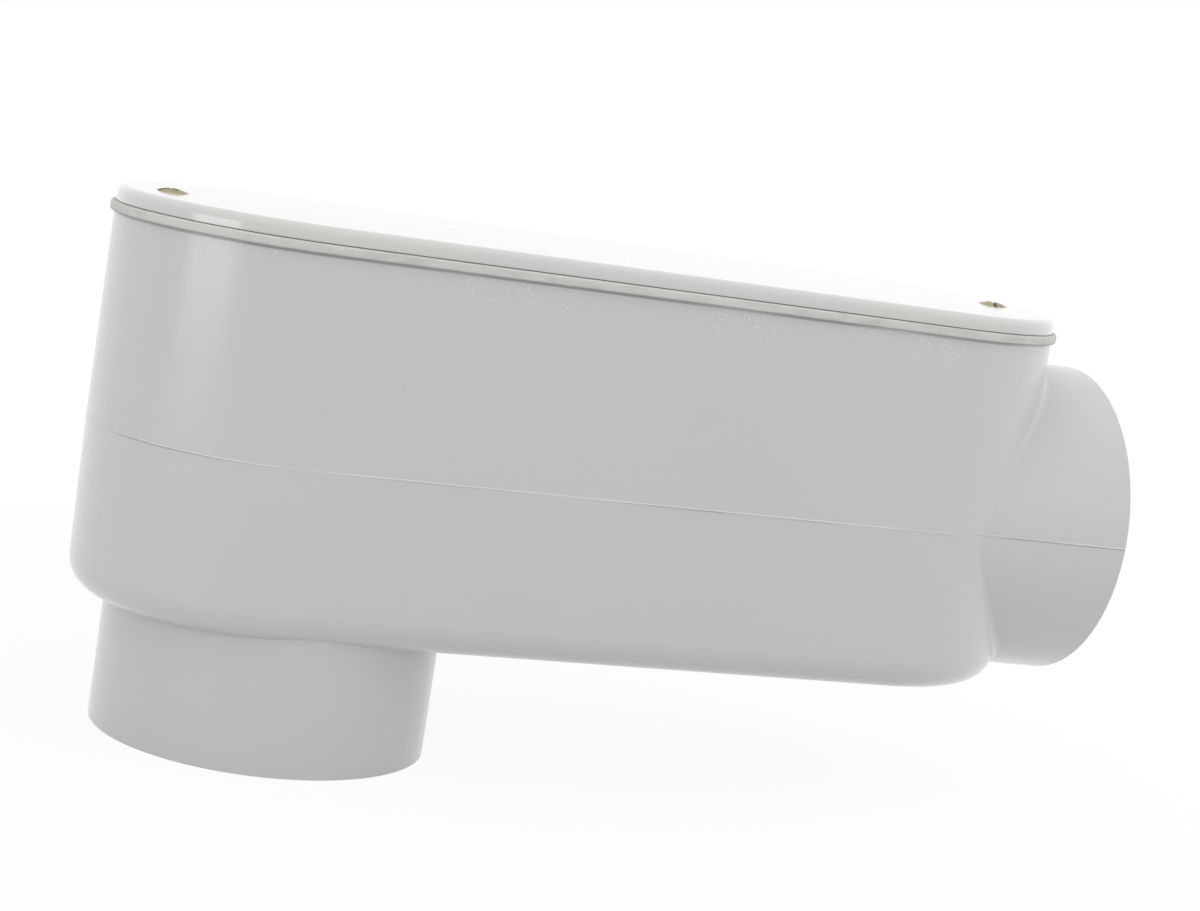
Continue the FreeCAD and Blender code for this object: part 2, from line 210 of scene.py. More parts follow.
class CoverSettings(bpy.types.PropertyGroup):
    """The form of the cover inside its outer box."""

    edge_radius: FloatProperty(
        name="Edge radius",
        description="Radius of the cover's top edge",
        default=0.0033,
        unit="LENGTH",
    )
    foot_break: FloatProperty(
        name="Foot break",
        description="Size of the broken edge at the foot of the cover's side",
        default=0.0003,
        unit="LENGTH",
    )
    land_width: FloatProperty(
        name="Land width",
        description="Width of the flat land that presses on the gasket",
        default=0.009,
        unit="LENGTH",
    )
    core_depth: FloatProperty(
        name="Core depth",
        description="Depth of the cored-out underside",
        default=0.0025,
        unit="LENGTH",
    )
    rib_count: IntProperty(
        name="Ribs",
        description="Number of ribs across the underside",
        default=5,
        min=2,
    )
    rib_width: FloatProperty(
        name="Rib width",
        description="Width of each rib",
        default=0.0024,
        unit="LENGTH",
    )
    rib_depth: FloatProperty(
        name="Rib depth",
        description="How far each rib hangs below the cored-out underside",
        default=0.0015,
        unit="LENGTH",
    )
    pad_radius: FloatProperty(
        name="Pad radius",
        description="Radius of the pad round each screw hole",
        default=0.008,
        unit="LENGTH",
    )
    hole_radius: FloatProperty(
        name="Hole radius",
        description="Radius of each screw hole",
        default=0.0027,
        unit="LENGTH",
    )
    seat_radius: FloatProperty(
        name="Countersink radius",
        description="Radius of each countersink at the cover's top",
        default=0.006,
        unit="LENGTH",
    )
    cone_foot: FloatProperty(
        name="Countersink foot",
        description="Height of the foot of each countersink, above the back hub's mouth",
        default=COVER_HIGH.z - 0.0038,
        unit="LENGTH",
    )
    pitch: FloatProperty(
        name="Pitch",
        description="Distance between neighbouring sections of the cover",
        default=0.0016,
        unit="LENGTH",
    )


class GasketSettings(bpy.types.PropertyGroup):
    """The clamped foam ring."""

    colour: FloatVectorProperty(
        name="Foam colour",
        description="Base colour of the foam",
        default=(0.585, 0.582, 0.565),
        subtype="COLOR",
        min=0.0,
        max=1.0,
    )
    edge_rounding: FloatProperty(
        name="Edge rounding",
        description="Radius of the two outer edges of the squeezed foam",
        default=0.0007,
        unit="LENGTH",
    )
    waviness: FloatProperty(
        name="Waviness",
        description="How far the cut edge of the foam wanders inwards",
        default=0.0003,
        unit="LENGTH",
    )
    window_radius: FloatProperty(
        name="Window radius",
        description="Radius of the round ends of the opening in the foam",
        default=0.0606,
        unit="LENGTH",
    )
    tab_radius: FloatProperty(
        name="Tab radius",
        description="Radius of the tab round each screw",
        default=0.008,
        unit="LENGTH",
    )
    hole_radius: FloatProperty(
        name="Hole radius",
        description="Radius of the screw hole in each tab",
        default=0.0027,
        unit="LENGTH",
    )
    pitch: FloatProperty(
        name="Pitch",
        description="Distance between neighbouring sections of the foam ring",
        default=0.0016,
        unit="LENGTH",
    )


class ScrewSettings(bpy.types.PropertyGroup):
    """The plated cover screws."""

    colour: FloatVectorProperty(
        name="Plating colour",
        description="Base colour of the yellow plating",
        default=(0.42, 0.37, 0.21),
        subtype="COLOR",
        min=0.0,
        max=1.0,
    )
    roughness: FloatProperty(
        name="Roughness",
        description="How far the plating spreads its reflections",
        default=0.38,
        subtype="FACTOR",
        min=0.0,
        max=1.0,
    )


class StageSettings(bpy.types.PropertyGroup):
    """Camera, lamps and floor."""

    target: FloatVectorProperty(
        name="Target",
        description="The point that the camera looks at",
        default=(0.1208, 0.0, 0.1185),
        subtype="TRANSLATION",
    )
    azimuth: FloatProperty(
        name="Azimuth",
        description="Turn of the camera about the upright axis, from looking along +Y",
        default=math.radians(-21.318),
        subtype="ANGLE",
    )
    elevation: FloatProperty(
        name="Elevation",
        description="Height of the camera above the horizon, as an angle",
        default=math.radians(8.233),
        subtype="ANGLE",
    )
    roll: FloatProperty(
        name="Roll",
        description="Turn of the camera about its own line of sight",
        default=math.radians(9.240),
        subtype="ANGLE",
    )
    distance: FloatProperty(
        name="Distance",
        description="Distance from the camera to its target",
        default=0.96252,
        unit="LENGTH",
    )
    focal_length: FloatProperty(
        name="Focal length",
        description="Focal length of the lens, in millimetres on a 36 mm sensor",
        default=73.66,
        unit="CAMERA",
    )
    sky: FloatProperty(
        name="Sky",
        description="Strength of the even light from all round",
        default=0.42,
    )
    key_power: FloatProperty(
        name="Key power",
        description="Power of the large front lamp, in watts",
        default=4.8,
        unit="POWER",
    )
    fill_power: FloatProperty(
        name="Fill power",
        description="Power of the tall lamp at the left, both halves together, in watts",
        default=7.4,
        unit="POWER",
    )
    edge_power: FloatProperty(
        name="Edge power",
        description="Power of the tall lamp at the right, in watts",
        default=5.0,
        unit="POWER",
    )
    top_power: FloatProperty(
        name="Top power",
        description="Power of the wide lamp overhead, in watts",
        default=48.0,
        unit="POWER",
    )
    floor_size: FloatProperty(
        name="Floor size",
        description="Width and length of the floor",
        default=24.0,
        unit="LENGTH",
    )
    seed: IntProperty(
        name="Seed",
        description="Picks another set of small irregularities",
        default=7,
        min=0,
    )


# ---------------------------------------------------------------------------- material building


class Nodes:
    """A node tree in the making."""

    def __init__(self, tree):
        self.tree = tree
        self.tree.nodes.clear()

    def add(self, kind, settings=None, **inputs):
        """A node of a kind, with its settings, and with its inputs linked or set by name."""
        node = self.tree.nodes.new("ShaderNode" + kind)
        for name, setting in (settings or {}).items():
            setattr(node, name, setting)
        for name, source in inputs.items():
            self.feed(node.inputs[name], source)
        return node

    def feed(self, socket, source):
        """Link a socket to a source, or set its value."""
        if isinstance(source, bpy.types.NodeSocket):
            self.tree.links.new(source, socket)
        else:
            socket.default_value = source

    def remap(self, source, low, high, start=0.0, end=1.0, smooth=True):
        """A source brought from low..high to start..end and held there."""
        settings = {"clamp": True, "interpolation_type": "SMOOTHSTEP" if smooth else "LINEAR"}
        ranges = {"From Min": low, "From Max": high, "To Min": start, "To Max": end}
        return self.add("MapRange", settings, Value=source, **ranges).outputs["Result"]

    def maths(self, operation, *numbers):
        """The result of one sum on sources or numbers."""
        node = self.add("Math", {"operation": operation})
        for socket, number in zip(node.inputs, numbers):
            self.feed(socket, number)
        return node.outputs[0]

    def of_rays(self, *kinds):
        """1 for light rays of any of the kinds that are named, 0 for the rest."""
        path = self.add("LightPath").outputs
        share = path[kinds[0]]
        for kind in kinds[1:]:
            share = self.maths("MAXIMUM", share, path[kind])
        return share


class Finish(Nodes):
    """A surface in the making: one Principled shader, and a colour that is painted in layers."""

    def __init__(self, name, colour, roughness, metallic=0.0):
        self.material = bpy.data.materials.new(name)
        self.material.use_nodes = True
        super().__init__(self.material.node_tree)
        self.shader = self.add("BsdfPrincipled", Roughness=roughness, Metallic=metallic)
        self.add("OutputMaterial", Surface=self.shader.outputs["BSDF"])
        self.place = self.add("TexCoord").outputs["Object"]
        self.surface = (*colour, 1.0)

    def put(self, name, source):
        """Link or set one of the shader's own inputs."""
        self.feed(self.shader.inputs[name], source)

    def noise(
        self, scale, detail=2.0, roughness=0.5, stretch=(1.0, 1.0, 1.0), shift=(0.0, 0.0, 0.0)
    ):
        """Noise between 0 and 1, in the object's own metres."""
        place = self.add("Mapping", Vector=self.place, Scale=stretch, Location=shift)
        settings = {"Scale": scale, "Detail": detail, "Roughness": roughness}
        return self.add("TexNoise", Vector=place.outputs["Vector"], **settings).outputs[0]

    def axis(self, name):
        """One coordinate of the place on the object."""
        return self.add("SeparateXYZ", Vector=self.place).outputs[name]

    def bump(self, height, distance, strength=1.0, under=None):
        """A normal bent by a height, on top of another normal."""
        node = self.add("Bump", Height=height, Distance=distance, Strength=strength)
        if under is not None:
            self.feed(node.inputs["Normal"], under)
        return node.outputs["Normal"]

    def blend(self, factor, first, second):
        """One colour passing into another with a factor."""
        node = self.add("Mix", {"data_type": "RGBA"})
        self.feed(node.inputs[MIX_FACTOR], factor)
        self.feed(node.inputs[MIX_FIRST], first)
        self.feed(node.inputs[MIX_SECOND], second)
        return node.outputs[MIX_RESULT]

    def paint(self, share, strength, colour):
        """Lay a colour over the surface where a share says, at a strength."""
        self.surface = self.blend(self.maths("MULTIPLY", share, strength), self.surface, colour)

    def specks(self, spacing, share, radius):
        """Sparse round specks, 1 inside each: a share of the cells holds one."""
        node = self.add("TexVoronoi", Vector=self.place, Scale=1.0 / spacing)
        draw = self.add("SeparateColor", Color=node.outputs["Color"]).outputs["Red"]
        chosen = self.remap(draw, share, share - 0.01, smooth=False)
        inside = self.remap(node.outputs["Distance"], radius / spacing, 0.5 * radius / spacing)
        return self.maths("MULTIPLY", chosen, inside)

    def stretches(self, scale, shift, low, high):
        """Long stretches round the part that come and go, from 0 to 1."""
        return self.remap(self.noise(scale, stretch=(1.0, 1.0, 0.2), shift=shift), low, high)

    def level_line(self, height, half_width, core):
        """A level line round the part, 1 within its core and 0 beyond its half width."""
        distance = self.maths("ABSOLUTE", self.maths("SUBTRACT", self.axis("Z"), height))
        return self.remap(distance, half_width, core)

    def hand_over(self):
        """The material, with its painted colour on the shader."""
        self.put("Base Color", self.surface)
        return self.material


def shade(colour, amount):
    """A colour made lighter or darker by a share."""
    return tuple(min(channel * (1.0 + amount), 1.0) for channel in colour) + (1.0,)


def tint(colour, red, green, blue):
    """A colour with each channel scaled."""
    return (colour[0] * red, colour[1] * green, colour[2] * blue, 1.0)


def plastic_finish(name, colour, roughness, wave_depth, grain_depth):
    """Moulded PVC: its colour and gloss drift a little, over a fine grain on faint waves."""
    finish = Finish(name, colour, roughness)
    warm = tint(colour, red=1.03, green=1.012, blue=0.98)
    cool = tint(colour, red=0.97, green=0.988, blue=1.012)
    finish.surface = finish.blend(finish.noise(6.0), warm, cool)
    swing = 0.04
    gloss = finish.maths("MULTIPLY_ADD", finish.noise(30.0), 2 * swing, roughness - swing)
    finish.put("Roughness", gloss)
    waves = finish.bump(finish.noise(11.0, detail=0.0), wave_depth)
    finish.put("Normal", finish.bump(finish.noise(420.0), grain_depth, under=waves))
    return finish


def housing_finish(settings):
    """The housing's plastic: scuffed under the rim, painted shade under the gasket, painted shadow
    and highlight at the flash, a few burnt specks.
    """
    colour, rim = settings.housing_colour, HOUSING_HIGH.z
    finish = plastic_finish(
        "moulded_pvc", colour, settings.roughness, wave_depth=0.0012, grain_depth=0.00002
    )
    # Pale flecks in patches, in a band under the rim.
    depth = settings.scuff_depth
    band = finish.remap(finish.axis("Z"), low=rim - depth, high=rim - 0.1 * depth)
    clouds = finish.noise(19.0, detail=3.0, roughness=0.6, shift=(0.4, 2.6, 5.0))
    patches = finish.remap(clouds, low=0.42, high=0.66)
    flecks = finish.noise(950.0, detail=1.0, stretch=(1.0, 1.0, 1.6))
    flecks = finish.remap(flecks, low=0.6, high=0.7)
    scuffs = finish.maths("MULTIPLY", finish.maths("MULTIPLY", band, patches), flecks)
    finish.paint(scuffs, 0.8, shade(colour, 0.3))
    # Painted shade where the rim meets the gasket, in uneven stretches under the foam's overhang.
    seam_shade = finish.remap(finish.axis("Z"), low=rim - 0.0011, high=rim - 0.0006)
    uneven = finish.stretches(14.0, shift=(1.7, 0.2, 0.0), low=0.36, high=0.6)
    finish.paint(finish.maths("MULTIPLY", seam_shade, uneven), 0.75, shade(colour, -0.6))
    # Along the parting line, a painted shadow under the flash and a painted highlight on its crest.
    flash_shadow = finish.level_line(HUB_AXIS_HEIGHT - SHADOW_DROP, half_width=0.00034, core=0.00012)
    shadow_stretches = finish.stretches(17.0, shift=(6.3, 0.9, 0.0), low=0.44, high=0.62)
    finish.paint(finish.maths("MULTIPLY", flash_shadow, shadow_stretches), 0.6, shade(colour, -0.5))
    # Painted highlight along the flash's crest, in stretches.
    crest_highlight = finish.level_line(HUB_AXIS_HEIGHT + CREST_RISE, half_width=0.0003, core=0.0001)
    highlight_stretches = finish.stretches(13.0, shift=(2.2, 4.1, 0.0), low=0.4, high=0.58)
    finish.paint(finish.maths("MULTIPLY", crest_highlight, highlight_stretches), 0.7, shade(colour, 0.35))
    burnt = finish.specks(settings.speck_spacing, share=0.14, radius=0.0004)
    finish.paint(burnt, 0.6, shade(colour, -0.6))
    finish.put("Coat Weight", 0.6)
    finish.put("Coat Roughness", 0.2)
    return finish.hand_over()


def cover_finish(settings):
    """The cover's plastic: glossier than the housing's, with painted shade where it meets the
    gasket.
    """
    colour, foot = settings.cover_colour, COVER_LOW.z
    finish = plastic_finish(
        "cover_pvc", colour, settings.cover_roughness, wave_depth=0.0003, grain_depth=0.000005
    )
    # Painted shade: a dark band at the foot, where the cover meets the gasket.
    seam_shade = finish.remap(finish.axis("Z"), low=foot + 0.0006, high=foot + 0.00025)
    finish.paint(seam_shade, 0.85, shade(colour, -0.75))
    finish.put("Coat Weight", 1.0)
    finish.put("Coat Roughness", 0.1)
    return finish.hand_over()


def foam_finish(colour):
    """Matt closed-cell foam: a pale skin, open pores along the cut edge, a little dirt, and painted
    shade along its foot.
    """
    finish = Finish("foam_gasket", colour, roughness=0.85)
    clouds = finish.noise(60.0, detail=3.0, roughness=0.6, stretch=(1.0, 1.0, 3.0))
    grime = finish.remap(clouds, low=0.35, high=0.75)
    finish.surface = finish.blend(grime, shade(colour, 0.05), shade(colour, -0.14))
    # Painted shade: darker along the foot, where the foam sits on the housing's rim.
    foot = GASKET_LOW.z
    seam_shade = finish.remap(finish.axis("Z"), low=foot + 0.0008, high=foot + 0.0002)
    finish.paint(seam_shade, 0.6, shade(colour, -0.55))
    pores = finish.specks(spacing=0.0021, share=0.4, radius=0.0003)
    finish.paint(pores, 0.6, shade(colour, -0.45))
    cells = finish.add("TexVoronoi", Vector=finish.place, Scale=1400.0).outputs["Distance"]
    finish.put("Normal", finish.bump(cells, distance=0.00008, strength=0.6))
    finish.put("Specular IOR Level", 0.3)
    return finish.hand_over()


def plated_finish(colour, roughness):
    """Zinc with a yellow passivate: its tint and gloss wander, and painted shade darkens its
    recesses and the foot of its head.
    """
    finish = Finish("plated_steel", colour, roughness, metallic=0.85)
    drift = finish.remap(finish.noise(420.0, detail=3.0, roughness=0.6), low=0.35, high=0.7)
    uneven = tint(colour, red=0.72, green=0.76, blue=0.86)
    metal = finish.blend(drift, (*colour, 1.0), uneven)
    # Painted shade: all but the open top of the head is darker, in its recesses and down in the
    # countersink.
    top = COVER_HIGH.z
    open_face = finish.remap(finish.axis("Z"), low=top - 0.0009, high=top + 0.0002)
    finish.surface = finish.blend(open_face, shade(colour, -0.6), metal)
    gloss = finish.remap(drift, 0.0, 1.0, start=roughness - 0.08, end=roughness + 0.14)
    finish.put("Roughness", gloss)
    finish.put("Normal", finish.bump(finish.noise(1500.0), distance=0.00003))
    return finish.hand_over()


def give_material(thing, material):
    """Put one material in every slot of an object."""
    if not thing.material_slots:
        thing.data.materials.append(material)
    for slot in thing.material_slots:
        slot.material = material


# -------------------------------------------------------------------------------- mesh building


def new_piece(name, source, material):
    """An object made from a bmesh, smooth apart from its sharp edges, riding and painted."""
    bmesh.ops.recalc_face_normals(source, faces=source.faces)
    mesh = bpy.data.meshes.new(name)
    source.to_mesh(mesh)
    source.free()
    for face in mesh.polygons:
        face.use_smooth = True
    mesh.set_sharp_from_angle(angle=SHARP_ANGLE)
    piece = bpy.data.objects.new(name, mesh)
    bpy.context.scene.collection.objects.link(piece)
    give_material(piece, material)
    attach(piece, "root")
    return piece


def plan_sections(pitch):
    """Stations round the plan, as centres on the middle line with outward directions."""
    arc_steps = round(math.pi * PLAN_RADIUS / pitch)
    straight_steps = round((RIGHT_CENTRE - LEFT_CENTRE) / pitch)
    stations = []
    for side, centre, other in ((-1, LEFT_CENTRE, RIGHT_CENTRE), (1, RIGHT_CENTRE, LEFT_CENTRE)):
        for step in range(arc_steps):
            angle = side * math.pi / 2 - math.pi * step / arc_steps
            outward = Vector((math.cos(angle), math.sin(angle), 0))
            stations.append((Vector((centre, 0, 0)), outward))
        for step in range(straight_steps):
            along = centre + (other - centre) * step / straight_steps
            stations.append((Vector((along, 0, 0)), Vector((0, -side, 0))))
    return stations


def add_loops(mesh, loops):
    """Walls between neighbouring closed loops of points; returns the loops as vertices."""
    rings = [[mesh.verts.new(point) for point in loop] for loop in loops]
    for ring, following in zip(rings, rings[1:]):
        for number in range(len(ring)):
            after = (number + 1) % len(ring)
            mesh.faces.new((ring[number], ring[after], following[after], following[number]))
    return rings


def cap_loops(mesh, rings):
    """A flat face across closed loops of vertices, with the inner loops left open as holes."""
    edges = []
    for ring in rings:
        for first, second in zip(ring, ring[1:] + ring[:1]):
            edges.append(mesh.edges.get((first, second)) or mesh.edges.new((first, second)))
    bmesh.ops.triangle_fill(mesh, use_beauty=True, use_dissolve=False, edges=edges)


def circle(centre_x, radius, height, steps):
    """A level circle of points about an upright axis on the middle line."""
    points = []
    for step in range(steps):
        turn = 2 * math.pi * step / steps
        place = (centre_x + radius * math.cos(turn), radius * math.sin(turn), height)
        points.append(Vector(place))
    return points


def quarter(start, end, centre, steps):
    """Points on a quarter ellipse about a centre, from its start to its end, both included."""
    points = []
    for step in range(steps + 1):
        turn = math.pi / 2 * step / steps
        points.append(tuple(
            middle + (first - middle) * math.cos(turn) + (last - middle) * math.sin(turn)
            for first, last, middle in zip(start, end, centre)
        ))
    return points


class CONDUIT_OT_dress_housing(bpy.types.Operator):
    """Give the moulded box its plastic finish"""

    bl_idname = "conduit.dress_housing"
    bl_label = "Dress housing"

    def execute(self, context):
        material = housing_finish(context.scene.conduit_plastic)
        give_material(frame["nodes"]["housing"], material)
        return {"FINISHED"}


def cover_profile(settings):
    """Radii and heights round the cover's side, from its cored-out ceiling to its top."""
    low, top, radius = COVER_LOW.z, COVER_HIGH.z, COVER_HIGH.y
    core, ceiling = radius - settings.land_width, low + settings.core_depth
    foot_break, rounding = settings.foot_break, settings.edge_radius
    inner = radius - rounding
    profile = [(core, ceiling), (core, low), (radius - foot_break, low), (radius, low + foot_break)]
    start, end, centre = (radius, top - rounding), (inner, top), (inner, top - rounding)
    profile += quarter(start, end, centre, COVER_EDGE_STEPS)
    profile.append((inner - TOP_STRIP, top))
    return profile


def screw_well(settings):
    """Radii and heights of the pad, the hole and the countersink round one screw."""
    low, top, seat = COVER_LOW.z, COVER_HIGH.z, settings.seat_radius
    return [
        (settings.pad_radius, low + settings.core_depth),
        (settings.pad_radius, low),
        (settings.hole_radius, low),
        (settings.hole_radius, settings.cone_foot),
        (seat, top - SEAT_BREAK),
        (seat + SEAT_BREAK, top),
    ]


def add_ribs(mesh, settings):
    """Ribs across the cored-out underside, evenly spaced from one round end to the other."""
    reach = COVER_HIGH.y - settings.land_width + RIB_SINK
    foot = COVER_LOW.z + settings.core_depth - settings.rib_depth
    height = settings.rib_depth + RIB_SINK
    for number in range(settings.rib_count):
        share = number / (settings.rib_count - 1)
        along = LEFT_CENTRE + (RIGHT_CENTRE - LEFT_CENTRE) * share
        place = Matrix.Translation((along, 0, foot + height / 2))
        size = Matrix.Diagonal((settings.rib_width, 2 * reach, height, 1))
        bmesh.ops.create_cube(mesh, size=1.0, matrix=place @ size)


class CONDUIT_OT_make_cover(bpy.types.Operator):
    """Build the cover with its full round edge, countersinks, cored underside and ribs"""

    bl_idname = "conduit.make_cover"
    bl_label = "Make cover"

    def execute(self, context):
        settings = context.scene.conduit_cover
        stations = plan_sections(settings.pitch)
        mesh = bmesh.new()
        rings = add_loops(mesh, [
            [centre + outward * radius + Vector((0, 0, height)) for centre, outward in stations]
            for radius, height in cover_profile(settings)
        ])
        ceiling_rings, top_rings = [rings[0]], [rings[-1]]
        for screw in SCREW_PLACES:
            well = screw_well(settings)
            rings = add_loops(mesh, [circle(screw, r, z, WELL_STEPS) for r, z in well])
            ceiling_rings.append(rings[0])
            top_rings.append(rings[-1])
        cap_loops(mesh, ceiling_rings)
        cap_loops(mesh, top_rings)
        add_ribs(mesh, settings)
        material = cover_finish(context.scene.conduit_plastic)
        cover = new_piece("cover_moulding", mesh, material)
        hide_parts("cover")
        return {"FINISHED"}


class CONDUIT_OT_dress_screws(bpy.types.Operator):
    """Give the cover screws their plating"""

    bl_idname = "conduit.dress_screws"
    bl_label = "Dress screws"

    def execute(self, context):
        settings = context.scene.conduit_screws
        material = plated_finish(settings.colour, settings.roughness)
        give_material(frame["nodes"]["cover_screws"], material)
        return {"FINISHED"}


def foam_section(settings, radius):
    """The cross-section of the foam ring, whose squeezed outer edges are rounded."""
    low, top, inner = GASKET_LOW.z, GASKET_HIGH.z, settings.window_radius
    rounding = settings.edge_rounding
    rounded = radius - rounding
    start, end, centre = (rounded, low), (radius, low + rounding), (rounded, low + rounding)
    section = [(inner, top), (inner, low)] + quarter(start, end, centre, FOAM_EDGE_STEPS)
    start, end, centre = (radius, top - rounding), (rounded, top), (rounded, top - rounding)
    return section + quarter(start, end, centre, FOAM_EDGE_STEPS) + [(inner, top)]


def wandering_radius(settings, place, seed):
    """The foam's outer radius at a place on its edge, which slow waves and ripples cut into."""
    waves = noise.noise(place * 24.0 + Vector((0, 0, seed)))
    ripples = noise.noise(place * 210.0 + Vector((0, 0, seed)))
    share = 0.5 + 0.5 * waves + 0.3 * ripples
    return GASKET_RADIUS - settings.waviness * min(max(share, 0.0), 1.0)


def add_tab(mesh, settings, side, screw):
    """A U of foam round one screw, which reaches out into the ring."""
    radius = settings.tab_radius
    reach = screw + side * 1.5 * radius
    outline = [Vector((reach, -side * radius, 0)), Vector((reach, side * radius, 0))]
    for step in range(TAB_STEPS + 1):
        turn = side * (math.pi / 2 + math.pi * step / TAB_STEPS)
        offset = Vector((abs(math.cos(turn)) * -side, math.sin(turn), 0))
        outline.append(Vector((screw, 0, 0)) + offset * radius)
    rises = [Vector((0, 0, height)) for height in (GASKET_LOW.z, GASKET_HIGH.z)]
    walls = add_loops(mesh, [[point + rise for point in outline] for rise in rises])
    hole = settings.hole_radius
    holes = add_loops(mesh, [circle(screw, hole, rise.z, TAB_STEPS) for rise in rises])
    for rings in zip(walls, holes):
        cap_loops(mesh, rings)


class CONDUIT_OT_make_gasket(bpy.types.Operator):
    """Build the squeezed foam ring under the cover, with a tab round each screw"""

    bl_idname = "conduit.make_gasket"
    bl_label = "Make gasket"

    def execute(self, context):
        settings = context.scene.conduit_gasket
        seed = context.scene.conduit_stage.seed
        mesh = bmesh.new()
        sections = []
        for centre, outward in plan_sections(settings.pitch):
            edge = wandering_radius(settings, centre + outward * GASKET_RADIUS, seed)
            section = foam_section(settings, edge)
            sections.append([centre + outward * r + Vector((0, 0, z)) for r, z in section])
        add_loops(mesh, [list(loop) for loop in zip(*sections)])
        for side, screw in zip((-1, 1), SCREW_PLACES):
            add_tab(mesh, settings, side, screw)
        gasket = new_piece("foam_ring", mesh, foam_finish(settings.colour))
        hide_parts("gasket")
        return {"FINISHED"}


def straight_run(start, end, steps):
    """A straight run in plan that faces -Y, as points with outward directions, end left off."""
    run = []
    for step in range(steps):
        x, y = (first + (last - first) * step / steps for first, last in zip(start, end))
        run.append((Vector((x, y, 0)), Vector((0, -1, 0))))
    return run


def arc_run(centre, radius, start, end, steps):
    """An arc in plan, given as straight_run is; angle 0 faces -Y, and a hollow has radius < 0."""
    run = []
    for step in range(steps):
        angle = start + (end - start) * step / steps
        outward = Vector((math.sin(angle), -math.cos(angle), 0))
        run.append((Vector((*centre, 0)) + outward * radius, outward))
    return run


def parting_run(settings):
    """Half of the parting line in plan, from the hub's mouth to the box's left end."""
    pitch, blend, hub_root = settings.pitch, settings.blend_radius, settings.hub_root_radius
    # The blend's centre, and how far round the right end the blend meets it.
    across = hub_root + blend
    along = math.sqrt((PLAN_RADIUS + blend) ** 2 - across ** 2)
    meeting = math.atan2(along, across)
    hub_end = RIGHT_CENTRE + along
    hub_steps = round((HUB_MOUTH - hub_end) / pitch)
    run = straight_run((HUB_MOUTH, -settings.hub_mouth_radius), (hub_end, -hub_root), hub_steps)
    run += arc_run((hub_end, -across), -blend, 0.0, meeting, BLEND_STEPS)
    steps = round(PLAN_RADIUS * meeting / pitch)
    run += arc_run((RIGHT_CENTRE, 0), PLAN_RADIUS, meeting, 0.0, steps)
    steps = round((RIGHT_CENTRE - LEFT_CENTRE) / pitch)
    run += straight_run((RIGHT_CENTRE, -PLAN_RADIUS), (LEFT_CENTRE, -PLAN_RADIUS), steps)
    steps = round(PLAN_RADIUS * math.pi / 2 / pitch)
    run += arc_run((LEFT_CENTRE, 0), PLAN_RADIUS, 0.0, -math.pi / 2, steps)
    run.append((Vector((LEFT_CENTRE - PLAN_RADIUS, 0, 0)), Vector((-1, 0, 0))))
    return run


def run_noise(travelled, rate, seed, layer):
    """Noise from -1 to 1 along the flash, at a rate per metre; each layer is a separate one."""
    return noise.noise(Vector((travelled * rate, seed, layer)))


def flash_section(settings, point, outward, travelled, seed):
    """The flash's four corners at a point; its height and level wander along its length."""
    swell = run_noise(travelled, 22.0, seed, layer=0.0)
    nicks = run_noise(travelled, 310.0, seed, layer=4.0)
    rise = settings.height * min(max(0.5 + 0.9 * swell + 0.35 * nicks, 0.0), 1.0)
    drift = FLASH_DRIFT * run_noise(travelled, 60.0, seed, layer=9.0)
    base = point + Vector((0, 0, HUB_AXIS_HEIGHT + drift))
    half = settings.width / 2
    corners = (
        (-FLASH_SINK, -half),
        (0.8 * rise, -0.35 * half),
        (rise, 0.2 * half),
        (-FLASH_SINK, half),
    )
    return [base + outward * out + Vector((0, 0, up)) for out, up in corners]


class CONDUIT_OT_make_parting_line(bpy.types.Operator):
    """Build the thin flash that runs round the box and along the end hub"""

    bl_idname = "conduit.make_parting_line"
    bl_label = "Make parting line"

    def execute(self, context):
        settings = context.scene.conduit_parting
        seed = context.scene.conduit_stage.seed
        run = parting_run(settings)
        run += [(Vector((p.x, -p.y, 0)), Vector((o.x, -o.y, 0))) for p, o in reversed(run[:-1])]
        mesh = bmesh.new()
        rows = []
        for number, (point, outward) in enumerate(run):
            section = flash_section(settings, point, outward, number * settings.pitch, seed)
            rows.append([mesh.verts.new(corner) for corner in section])
        for row, following in zip(rows, rows[1:]):
            for corner in range(4):
                after = (corner + 1) % 4
                mesh.faces.new((row[corner], row[after], following[after], following[corner]))
        for end in (rows[0], rows[-1]):
            mesh.faces.new(end)
        material = frame["nodes"]["housing"].material_slots[0].material
        new_piece("parting_flash", mesh, material)
        return {"FINISHED"}


# ---------------------------------------------------------------------------------------- stage


def camera_axes(stage):
    """The camera's own axes as columns: right, up and back."""
    back = Vector((
        math.sin(stage.azimuth) * math.cos(stage.elevation),
        -math.cos(stage.azimuth) * math.cos(stage.elevation),
        math.sin(stage.elevation),
    ))
    level_right = Vector((0, 0, 1)).cross(back).normalized()
    level_up = back.cross(level_right)
    right = math.cos(stage.roll) * level_right + math.sin(stage.roll) * level_up
    up = math.cos(stage.roll) * level_up - math.sin(stage.roll) * level_right
    return Matrix((right, up, back)).transposed()


def add_camera(stage):
    """The scene's camera, aimed by target, angles and distance."""
    data = bpy.data.cameras.new("camera")
    data.sensor_width = 36.0
    data.lens = stage.focal_length
    data.clip_start = 0.01
    data.clip_end = 100.0
    camera = bpy.data.objects.new("camera", data)
    axes = camera_axes(stage)
    place = Vector(stage.target) + axes.col[2] * stage.distance
    camera.matrix_world = Matrix.Translation(place) @ axes.to_4x4()
    bpy.context.scene.collection.objects.link(camera)
    bpy.context.scene.camera = camera


def add_lamp(name, place, aim, width, height, power, mirrored):
    """A soft rectangular lamp turned to a point; surfaces reflect it only if it is mirrored."""
    data = bpy.data.lights.new(name, "AREA")
    data.shape = "RECTANGLE"
    data.size = width
    data.size_y = height
    data.energy = power
    lamp = bpy.data.objects.new(name, data)
    lamp.visible_glossy = mirrored
    lamp.location = place
    lamp.rotation_euler = (aim - place).to_track_quat("-Z", "Y").to_euler()
    bpy.context.scene.collection.objects.link(lamp)


